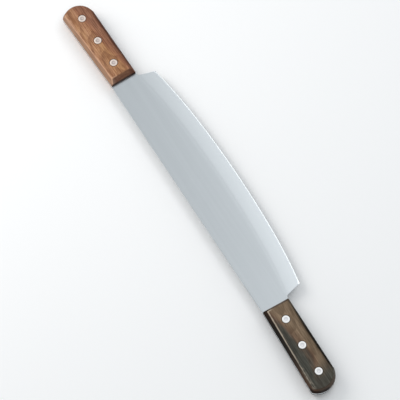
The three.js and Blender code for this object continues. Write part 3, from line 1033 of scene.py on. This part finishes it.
# %% [markdown]
# The outline of a handle is shared by the tang and its scales: a straight front, two sides and the round
# butt. An outline drawn once could be scaled for every level, but a bevel is not as wide at the front as at
# the butt. So one function gives the outline for how far it is drawn in at the side, front and butt, and a
# scale is a stack of such outlines. The two front corners get a small fillet. On the spine side that corner
# is painted bright, as wear and a painted highlight, so a point on either side of it keeps the mark narrow.

# %% Handle outline
SIDE_STEPS = 14
CORNER_RADIUS = 0.7
CORNER_REACH = 0.8
BRIGHT_CORNER = range(2 * FILLET_STEPS + 1, 3 * FILLET_STEPS + 2)


def handle_outline(side, front, butt):
    """From the front corner on the edge side round the handle. BRIGHT_CORNER numbers the other corner,
    which gets wear and a painted highlight.
    """
    half = front_half - side + side_slope(side, butt) * front
    edge_front, spine_front = Vector((front, half)), Vector((front, -half))
    round_butt = butt_outline(side, butt)
    bright_corner = fillet(spine_front, edge_front, round_butt[0], CORNER_RADIUS)
    points = fillet(edge_front, round_butt[-1], spine_front, CORNER_RADIUS)
    points += between(edge_front, spine_front, FILLET_STEPS)
    points.append(bright_corner[0] + (edge_front - spine_front).normalized() * CORNER_REACH)
    points += bright_corner
    points.append(bright_corner[-1] + (round_butt[0] - spine_front).normalized() * CORNER_REACH)
    points += between(spine_front, round_butt[0], SIDE_STEPS)
    points += round_butt
    points += between(round_butt[-1], edge_front, SIDE_STEPS)
    return points


print("a handle outline has", len(handle_outline(0, 0, 0)), "points")

# %% [markdown]
# A scale is a slab of wood with bevelled sides: next to the tang a narrow upright land, then a steep bevel,
# an arris eased by hand, and the flat top. It is lofted from outlines at rising levels. Close to each arris
# extra outlines keep the flat faces flat, which a subdivision surface would round. Each row says how pale
# the arris is painted at that level, as wear and a painted highlight together: the rounded part most, and
# towards the butt a strip on both sides of it. The bevel narrows towards the butt. Each front has a land
# and a slope of its own, since fronts are cut last and by eye: the dark one is steeper and reaches further
# down.

# %% Scale flanks
from collections import namedtuple

SCALE_LAND = 1.4
FRONT_LANDS = {"dark": 2.0, "pale": 3.8}
LAND_EASE = 0.25
SIDE_BEVEL = 3.7
BUTT_BEVEL = 2.6
FRONT_SLOPES = {"dark": 3.8, "pale": 5.4}
EASED_ARRIS = 0.8
ARRIS_STEPS = 6
LEAST_ARRIS_MARK = 0.5
ARRIS_MARK_REACH = 0.9
ARRIS_MARK_SPREAD = 3.5
SPREAD_ARRIS_MARK = 0.7

# A row's wear and butt_wear say how pale its arris is painted, as wear and painted highlight together, away
# from the butt and near it.
FlankRow = namedtuple("FlankRow", "inset height wear butt_wear")


def flank(land, run):
    """Rows from the tang to the flat top, for a bevel with this run over this land."""
    ease_start = scale_thickness - EASED_ARRIS

    def bevel_inset(height):
        return run * max(0.0, height - land) / (scale_thickness - land)

    rows = [FlankRow(0.0, 0.0, 0.0, 0.0)]
    for middle in (SCALE_LAND, *FRONT_LANDS.values()):
        for height in (middle - LAND_EASE, middle + LAND_EASE):
            rows.append(FlankRow(bevel_inset(height), height, 0.0, 0.0))
    wear_start = ease_start - ARRIS_MARK_REACH
    rows.append(FlankRow(bevel_inset(wear_start), wear_start, 0.0, SPREAD_ARRIS_MARK))
    start = Vector((bevel_inset(ease_start), ease_start))
    corner = Vector((run, scale_thickness))
    end = Vector((run + EASED_ARRIS, scale_thickness))
    for number in range(ARRIS_STEPS + 1):
        share = number / ARRIS_STEPS
        point = start.lerp(corner, share).lerp(corner.lerp(end, share), share)
        wear = LEAST_ARRIS_MARK + (1 - LEAST_ARRIS_MARK) * math.sin(math.pi * share)
        rows.append(FlankRow(point.x, point.y, wear, wear))
    rows.append(FlankRow(run + EASED_ARRIS + ARRIS_MARK_REACH, scale_thickness, 0.0, SPREAD_ARRIS_MARK))
    rows.append(FlankRow(run + EASED_ARRIS + ARRIS_MARK_SPREAD, scale_thickness, 0.0, 0.0))
    return rows


print("rows in a flank:", len(flank(SCALE_LAND, SIDE_BEVEL)))

# %% [markdown]
# The values that the wood reads are painted on the vertices of a scale. A brush would do it too, but a rule
# can be changed and holds for all four scales. First comes the arris, painted pale as wear and a painted
# highlight together. It is painted most on the spine side, where the palms press and the light catches it,
# and hardly at all on the edge side, and it fades at both ends. The front corner on the spine side is
# painted bright as well, strongly on the pale handle and hardly on the dark one.

# %% Worn and lit arrises
EDGE_SIDE_WEAR_AND_HIGHLIGHT = 0.12
ARRIS_MARK_WIDTH = 12.0
FRONT_FADE = 2.0
FRONT_CORNER_WEAR_AND_HIGHLIGHT = {"dark": 0.1, "pale": 1.0}
ARRIS_MARK_FADES = {"dark": 0.4, "pale": 0.05}
ARRIS_MARK_END = 4.0
ARRIS_MARK_GROWTH = 35.0


def share_of(value):
    return min(1.0, max(0.0, value))


def arris_wear_and_highlight(finish, along, spinewards, row):
    rubbed_and_lit = share_of(spinewards / ARRIS_MARK_WIDTH) * share_of(along / FRONT_FADE)
    rubbed_and_lit *= share_of((handle_length - ARRIS_MARK_END - along) / ARRIS_MARK_END)
    rubbed_and_lit *= 1 - ARRIS_MARK_FADES[finish] * along / handle_length
    spread = share_of((along - edge_corner.x) / ARRIS_MARK_GROWTH + 1)
    return max(EDGE_SIDE_WEAR_AND_HIGHLIGHT, rubbed_and_lit) * (row.wear + (row.butt_wear - row.wear) * spread)


def corner_wear_and_highlight(finish, number, row):
    """How bright this point of a level is painted, as wear and highlight, if it is on the front corner of
    the spine side.
    """
    is_beside_slope = FRONT_LANDS[finish] < row.height < scale_thickness - TOUCH
    return FRONT_CORNER_WEAR_AND_HIGHLIGHT[finish] if is_beside_slope and number in BRIGHT_CORNER else 0.0


full_arris_row = FlankRow(inset=0.0, height=0.0, wear=1.0, butt_wear=1.0)
# The value printed below is the arris's wear and painted highlight together.
for finish in FINISHES:
    wear = arris_wear_and_highlight(finish, handle_length / 2, ARRIS_MARK_WIDTH, full_arris_row)
    print(f"halfway along, the {finish} handle's arris is worn {wear:.2f}")

# %% [markdown]
# The spine flank gets painted shade on the dark handle and a painted sheen on the pale one. The edge flank
# gets painted shade, which spills over its arris and ends where the butt starts. Painted shade also lies
# along the tang, on the front's land and on the low part of the butt, higher up on the dark handle. A
# shader could find low places by itself, but it doesn't know which flank gets which mark, so these rules go
# by the place along the handle, the side and the height.

# %% Painted shade and sheen
FLANK_MARK_START = 9.0
FLANK_MARK_WIDTH = 4.0
SPINE_SHADING_FADE = 0.15
EDGE_SHADE_START = 0.5
EDGE_SHADE_GROWTH = 40.0
EDGE_SHADE_ON_TOP = 0.4
BUTT_FADE = 8.0
BUTT_SHADE_HEIGHTS = {"dark": 7.0, "pale": 1.5}
BUTT_SHADE_FADE = 2.0
TANG_SEAM = 0.7
SCALE_VALUES = ("arris", "spine_flank_shading", "edge_flank_shade", "seam_shade")


# Painted shade on the dark handle's spine flank, a painted sheen on the pale one's.
def spine_flank_shading_mark(along, spinewards):
    on_spine_flank = share_of((spinewards - FLANK_MARK_START) / FLANK_MARK_WIDTH)
    return on_spine_flank * (1 - SPINE_SHADING_FADE * along / handle_length)


# Painted shade on the edge flank, which spills over its arris.
def edge_flank_shade_mark(along, spinewards, row, is_flank):
    before_butt = share_of((edge_corner.x - along) / BUTT_FADE + 0.5)
    on_edge_flank = share_of((-spinewards - FLANK_MARK_START) / FLANK_MARK_WIDTH) * before_butt
    if is_flank:
        return on_edge_flank * share_of(EDGE_SHADE_START + along / EDGE_SHADE_GROWTH)
    if row.wear > 0:
        return on_edge_flank * share_of(along / EDGE_SHADE_GROWTH)
    if row.butt_wear > 0:
        return on_edge_flank * EDGE_SHADE_ON_TOP * share_of(along / EDGE_SHADE_GROWTH)
    return 0.0


# Painted shade along the tang, on the front's land and on the low part of the butt.
def seam_shade_mark(finish, along, spinewards, row, is_flank):
    if along < TOUCH:
        return 1.0
    on_butt = share_of((along - edge_corner.x) / BUTT_FADE) * share_of(spinewards / FLANK_MARK_WIDTH + 1)
    butt_shade = on_butt * share_of((BUTT_SHADE_HEIGHTS[finish] - row.height) / BUTT_SHADE_FADE) if is_flank else 0.0
    return max(TANG_SEAM, butt_shade) if row.height < TOUCH else butt_shade


def paint_level(level, layers, finish, spine_side, row):
    is_flank = row.height < scale_thickness - EASED_ARRIS - TOUCH
    for number, corner in enumerate(level):
        along, spinewards = corner.co.x, spine_side * corner.co.y
        wear = arris_wear_and_highlight(finish, along, spinewards, row)
        corner[layers["arris"]] = max(wear, corner_wear_and_highlight(finish, number, row))
        corner[layers["spine_flank_shading"]] = spine_flank_shading_mark(along, spinewards) if is_flank else 0.0
        corner[layers["edge_flank_shade"]] = edge_flank_shade_mark(along, spinewards, row, is_flank)
        corner[layers["seam_shade"]] = seam_shade_mark(finish, along, spinewards, row, is_flank)


print("values painted on a scale:", ", ".join(SCALE_VALUES))

# %% [markdown]
# The rivet heads sit in counterbores, with the sleeve in a narrower bore below. A hair of clearance round a
# head shows as the thin dark ring that marks a rivet in wood, and painted shade darkens that ring further.
# A Boolean cut would make the hole, but rings of vertices also give its rim a fine ease and a place to
# paint that shade.

# %% Rivet holes
HEAD_THICKNESS = 2.2
SLEEVE_DIAMETER = 5.0
RIVET_CLEARANCE = 0.1
HOLE_SEGMENTS = 56
RIM_EASE = 0.12
SEAM_WIDTH = 0.35
SEAM_REACH = 1.0

pin_low, pin_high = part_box("dark_front_rivet_pin")
head_radius = (pin_high.y - pin_low.y) / 2 / MM
seat_height = scale_thickness - HEAD_THICKNESS
hole_radius = SLEEVE_DIAMETER / 2 + RIVET_CLEARANCE


def scale_hole(shape, along, seam_shade):
    """One counterbored hole. Gives a ring outside its rim at the top, and its mouth below."""
    counterbore = head_radius + RIVET_CLEARANCE
    levels = [
        (hole_radius, 0.0),
        (hole_radius, seat_height),
        (counterbore, seat_height),
        (counterbore, scale_thickness - RIM_EASE),
        (counterbore + RIM_EASE, scale_thickness),
        (counterbore + SEAM_WIDTH, scale_thickness),
        (counterbore + SEAM_REACH, scale_thickness),
    ]
    rings = [ring(shape, circle((along, 0), radius, HOLE_SEGMENTS), height) for radius, height in levels]
    for lower, upper in zip(rings, rings[1:]):
        bridge(shape, lower, upper)
    wall_top, rim, shade_ring, outer = rings[3:]
    # The rim of each counterbore gets painted shade.
    for corner in (*wall_top, *rim, *shade_ring):
        corner[seam_shade] = 1.0
    return outer, rings[0]


print(f"rivet heads {2 * head_radius:.1f} mm across, seated {seat_height:.1f} mm above the tang")

# %% [markdown]
# A scale is now put together: the levels of its outline are painted and bridged, the holes are
# added, and the top and the face on the tang are filled round them. All four are made in the same
# frame, upper face up. A mirrored copy would save work, but would turn the grain into a mirror
# image too, so a lower scale is a shape of its own, turned over about the handle's length.

# %% Scales
turned_over = Matrix.Rotation(math.pi, 4, "X")


def make_scale_shape(finish, spine_side):
    shape = bmesh.new()
    layers = {name: shape.verts.layers.float.new(name) for name in SCALE_VALUES}
    sides = flank(SCALE_LAND, SIDE_BEVEL)
    fronts = flank(FRONT_LANDS[finish], FRONT_SLOPES[finish])
    butts = flank(SCALE_LAND, BUTT_BEVEL)
    levels = []
    for side, front, butt in zip(sides, fronts, butts):
        points = handle_outline(side.inset, front.inset, butt.inset)
        level = ring(shape, [(point.x, -spine_side * point.y) for point in points], side.height)
        paint_level(level, layers, finish, spine_side, side)
        if levels:
            bridge(shape, levels[-1], level)
        levels.append(level)
    holes = [scale_hole(shape, along, layers["seam_shade"]) for along in rivet_rows]
    fill_plate(shape, levels[-1], [outer for outer, mouth in holes])
    fill_plate(shape, levels[0], [mouth for outer, mouth in holes])
    return shape


def on_face(finish, along, height, face):
    """The place of a piece on the upper or lower face of a tang, in the knife's millimetres."""
    side = Matrix.Identity(4) if face == "upper" else turned_over
    return handles[finish] @ Matrix.Translation((along, 0, 0)) @ side @ Matrix.Translation((0, 0, height))


for (finish, face), wood in woods.items():
    matrix = on_face(finish, 0, tang_face, face)
    shape = make_scale_shape(finish, SPINE_SIDES[finish, face])
    finish_piece(shape, f"{finish}_{face}_grip", matrix, wood, f"{finish}_{face}_scale")

# %% [markdown]
# A rivet is two turned pieces: a head with a solid pin, pressed into a head with a tubular sleeve.
# Each is drawn as half a section, a profile of radius and height, as a turner would draw it. The
# head has a fine round on the rim and a shallow dish in the middle, where the punch struck. Each
# point has its dish value as well, which is highest on the slope of the dish. The profile starts
# and ends on the axis, so the mesh will be closed.

# %% Rivet profiles
RIM_RADIUS = 0.25
RIM_STEPS = 4
DISH_DIAMETER = 6.2
DISH_DEPTH = 0.25
DISH_STEPS = 8
DISH_SLOPE = (0.1, 0.3)
DISH_FLOOR = (0.55, 0.8)
FLOOR_VALUE = 0.5
SLEEVE_BORE = 3.2
PIN_CLEARANCE = 0.1
PIN_CHAMFER = 0.4

shank_length = (pin_high.z - pin_low.z) / MM - HEAD_THICKNESS


def rise(value, limits):
    low, high = limits
    return share_of((value - low) / (high - low))


def head_profile():
    """From the underside of the head round its rim and down into the dish, with the dish value."""
    rows = [(head_radius, 0.0, 0.0)]
    for number in range(RIM_STEPS + 1):
        turn = math.pi / 2 * number / RIM_STEPS
        radius = head_radius - RIM_RADIUS * (1 - math.cos(turn))
        rows.append((radius, HEAD_THICKNESS - RIM_RADIUS * (1 - math.sin(turn)), 0.0))
    for number in range(DISH_STEPS + 1):
        share = number / DISH_STEPS
        depth = DISH_DEPTH * math.sin(math.pi / 2 * share) ** 2
        value = rise(share, DISH_SLOPE) * (1 - (1 - FLOOR_VALUE) * rise(share, DISH_FLOOR))
        rows.append((DISH_DIAMETER / 2 * (1 - share), HEAD_THICKNESS - depth, value))
    return rows


def pin_profile():
    radius = SLEEVE_BORE / 2 - PIN_CLEARANCE
    tip = [(0.0, -shank_length, 0.0), (radius - PIN_CHAMFER, -shank_length, 0.0)]
    return tip + [(radius, PIN_CHAMFER - shank_length, 0.0), (radius, 0.0, 0.0)] + head_profile()


def sleeve_profile():
    bore, outer = SLEEVE_BORE / 2, SLEEVE_DIAMETER / 2
    inside = [(0.0, 0.0, 0.0), (bore, 0.0, 0.0), (bore, -shank_length, 0.0)]
    return inside + [(outer, -shank_length, 0.0), (outer, 0.0, 0.0)] + head_profile()


print("rows in a pin and in a sleeve:", len(pin_profile()), len(sleeve_profile()))

# %% [markdown]
# Like work in a lathe, a rivet half is its profile spun round the axis. A Screw modifier would spin
# it too, but rings of vertices take the dish value along. Every hole gets a pin from above and a
# sleeve from below, with the head on its seat.

# %% Rivets
RIVET_SEGMENTS = 56


def spin(profile):
    shape = bmesh.new()
    dish = shape.verts.layers.float.new("dish")
    rings = []
    for radius, height, value in profile:
        level = ring(shape, circle((0, 0), radius, RIVET_SEGMENTS), height)
        for corner in level:
            corner[dish] = value
        if rings:
            bridge(shape, rings[-1], level)
        rings.append(level)
    return shape


halves = {"pin": (pin_profile, "upper"), "sleeve": (sleeve_profile, "lower")}
for finish in FINISHES:
    for place_name, along in zip(RIVET_PLACES, rivet_rows):
        for half, (profile, face) in halves.items():
            matrix = on_face(finish, along, tang_face + seat_height, face)
            name = f"{finish}_{place_name}_{half}"
            node = f"{finish}_{place_name}_rivet_{half}"
            finish_piece(spin(profile()), name, matrix, rivet_metals[finish], node)

# %% [markdown]
# The blade is a plate whose thickness depends only on how far a point lies from the cutting edge.
# The flat runs softly into a bevel that bulges a little, as a bevel ground by hand does, and the
# honed strip ends it. The bevel could be cut with a lofted tool, as in the solid, but with the
# height of the face as a formula the mesh needs only the outline, the rivet holes and some lines
# along the edge, and the triangulation fills in the rest. The shoulder slants from the heel to its
# foot, where it meets the side of the tang.

# %% Blade profile
EDGE_ROLL_OFF = 0.24
SHOULDER_SLANT = math.radians(14.15)
GRIND_WIDTH = 19.0
HONED_WIDTH = 1.1
HONED_THICKNESS = 0.7
GRIND_BULGE = 0.12
GRIND_BLEND = 0.17

tang_corner = (handles["dark"] @ Vector((0, front_half, 0))).to_2d()
tang_end = (handles["dark"] @ Vector((edge_corner.x, edge_corner.y, 0))).to_2d()
tang_slope = (tang_end.y - tang_corner.y) / (tang_end.x - tang_corner.x)
foot_rise = heel_width - tang_corner.y + tang_slope * (tang_corner.x - heel.x)
foot_drop = foot_rise / (1 + tang_slope * math.tan(SHOULDER_SLANT))
shoulder_foot = Vector((heel.x + foot_drop * math.tan(SHOULDER_SLANT), heel_width - foot_drop))


def edge_height(x):
    reach = min(abs(x), shoulder_foot.x) / heel.x
    fall = (1 - EDGE_ROLL_OFF) * reach**2 + EDGE_ROLL_OFF * reach**4
    return belly_width - (belly_width - heel_width) * fall


def bevel_share(from_edge):
    """From 0 where the bevel leaves the flat to 1 at the honed strip."""
    return (GRIND_WIDTH - from_edge) / (GRIND_WIDTH - HONED_WIDTH)


def half_thickness(from_edge):
    if from_edge < HONED_WIDTH:
        share = from_edge / HONED_WIDTH
        return (EDGE_THICKNESS + (HONED_THICKNESS - EDGE_THICKNESS) * share) / 2
    share = bevel_share(from_edge)
    if share < GRIND_BLEND:
        share = max(share + GRIND_BLEND, 0) ** 2 / (4 * GRIND_BLEND)
    fall = (1 - GRIND_BULGE) * share + GRIND_BULGE * share**2
    return (plate_thickness - (plate_thickness - HONED_THICKNESS) * fall) / 2


print(f"at the honed line the blade is {2 * half_thickness(HONED_WIDTH):.2f} mm thick")

# %% [markdown]
# The outline runs along the spine, round a tang, up the slanted shoulder and back along the curved
# edge. Only one half is drawn, and the other is its mirror image. Every corner but the cutting
# edge is eased by a small quarter round, so that the plate catches a line of light and would not
# cut the hand. A Bevel modifier would round the cutting edge with the rest, so the outline is drawn
# in by an amount of its own at each point.

# %% Blade outline
EDGE_STATIONS = 120
SHOULDER_FILLET = 3.5
SHOULDER_ARC_STEPS = 10
SHOULDER_STEPS = 16
PLATE_EASE = 0.3
EASE_LIMIT = 0.6

to_knife = handles["dark"]
spine_front = (to_knife @ Vector((0, -front_half, 0))).to_2d()
heel_point = Vector((heel.x, heel_width))
shoulder_arc = fillet(shoulder_foot, tang_end, heel_point, SHOULDER_FILLET, SHOULDER_ARC_STEPS)
right_half = [spine_front]
right_half += [(to_knife @ point.to_3d()).to_2d() for point in butt_outline(0, 0)]
right_half += shoulder_arc
right_half += between(shoulder_arc[-1], heel_point, SHOULDER_STEPS)
left_half = [Vector((-point.x, point.y)) for point in reversed(right_half)]
stations = [heel.x * (1 - 2 * number / EDGE_STATIONS) for number in range(EDGE_STATIONS + 1)]
cutting_edge = [Vector((x, edge_height(x))) for x in stations]
blade_outline = right_half + cutting_edge + left_half


def draw_in(points, amounts):
    """A closed outline with each point moved inwards by its own amount."""
    moved = []
    for number, point in enumerate(points):
        before = (point - points[number - 1]).normalized()
        after = (points[(number + 1) % len(points)] - point).normalized()
        normal = (before + after).normalized().orthogonal()
        stretch = normal.dot(before.orthogonal())
        moved.append(point + normal * amounts[number] / stretch)
    return moved


eases = []
for point in blade_outline:
    thickness = half_thickness(edge_height(point.x) - point.y)
    eases.append(0.0 if point in cutting_edge else min(PLATE_EASE, EASE_LIMIT * thickness))
print("blade outline has", len(blade_outline), "points")

# %% [markdown]
# Each face of the blade gets the outline, the holes and the lines along the edge, with their
# height from the profile. A fine even grid would give the same shape with many more faces, so the
# lines lie close together only where the flat bends into the bevel. The values ground, fine and
# honed are painted as the vertices are made, from the distance to the edge.

# %% Blade faces
GRIND_LINES = (23.0, 22.0, 21.0, 20.0, 19.0, 18.0, 17.0, 16.0, 14.0, 11.0, 8.0, 5.0, 2.5, 1.25, HONED_WIDTH)
LINE_MARGIN = 0.7
RIM_ROUND_STEPS = 3
GROUND_FADE = 1.0
HONED_REACH = 1.2


def shoulder_reach(height):
    return heel.x + (heel_width - height) * math.tan(SHOULDER_SLANT)


def blade_face(shape, side, ground, fine, honed):
    """The upper face, side 1, or the lower one, side -1. Gives its rim, its holes and its honed line."""

    def add(point, drop=0.0):
        from_edge = edge_height(point.x) - point.y
        corner = shape.verts.new((point.x, point.y, side * (half_thickness(from_edge) - drop)))
        corner[ground] = share_of((GRIND_WIDTH + GROUND_FADE - from_edge) / (2 * GROUND_FADE))
        corner[fine] = share_of(bevel_share(from_edge))
        corner[honed] = 1.0 if from_edge < HONED_REACH else 0.0
        return corner

    rims = []
    for number in range(RIM_ROUND_STEPS + 1):
        turn = math.pi / 2 * number / RIM_ROUND_STEPS
        insets = [amount * (1 - math.sin(turn)) for amount in eases]
        drops = [amount * (1 - math.cos(turn)) for amount in eases]
        rims.append([add(point, drop) for point, drop in zip(draw_in(blade_outline, insets), drops)])
    for lower, upper in zip(rims, rims[1:]):
        bridge(shape, lower, upper)
    lines = []
    for offset in GRIND_LINES:
        points = [Vector((x, edge_height(x) - offset)) for x in stations]
        inside = [point for point in points if abs(point.x) < shoulder_reach(point.y) - LINE_MARGIN]
        lines.append([add(point) for point in inside])
    holes = []
    for handle in handles.values():
        for along in rivet_rows:
            centre = handle @ Vector((along, 0, 0))
            points = circle(centre, hole_radius, HOLE_SEGMENTS)
            holes.append([add(Vector(point)) for point in points])
    fill_plate(shape, rims[0], holes, lines)
    return rims[-1], holes, lines[-1]


print("lines along the edge:", len(GRIND_LINES))

# %% [markdown]
# The two faces are joined by the rim between them and by the walls of the rivet holes, which makes
# the plate one closed shell. A Solidify modifier gives a plate a second face too, but this plate's
# thickness changes from point to point. The line where the honed strip starts is kept as a crease,
# because a stone leaves it crisp.

# %% Blade
def make_blade_shape():
    shape = bmesh.new()
    ground = shape.verts.layers.float.new("ground")
    fine = shape.verts.layers.float.new("fine")
    honed = shape.verts.layers.float.new("honed")
    upper_rim, upper_holes, upper_honed = blade_face(shape, 1, ground, fine, honed)
    lower_rim, lower_holes, lower_honed = blade_face(shape, -1, ground, fine, honed)
    bridge(shape, upper_rim, lower_rim)
    for upper, lower in zip(upper_holes, lower_holes):
        bridge(shape, upper, lower)
    return shape, {*upper_honed, *lower_honed}


shape, honed_lines = make_blade_shape()
blade_place = Matrix.Identity(4)
blade = finish_piece(shape, "ground_blade", blade_place, blade_steel, "blade", honed_lines)

# %% [markdown]
# A light box that the blade mirrors is seen in it as a plain white patch, and from some sides the
# wood light would cover the whole blade. A photographer holds a black card, a flag, between the lamp
# and the blade. A card in the scene would show in other views, so light linking does its work: the
# wood light falls on everything but the blade.

# %% Flag the wood light
flag = bpy.data.collections.new("wood_light_flag")
flag.objects.link(blade)
flag.collection_objects[0].light_linking.link_state = "EXCLUDE"
wood_light.light_linking.receiver_collection = flag

# %% [markdown]
# Last, the view layer is brought up to date.

# %% Update the view layer
bpy.context.view_layer.update()
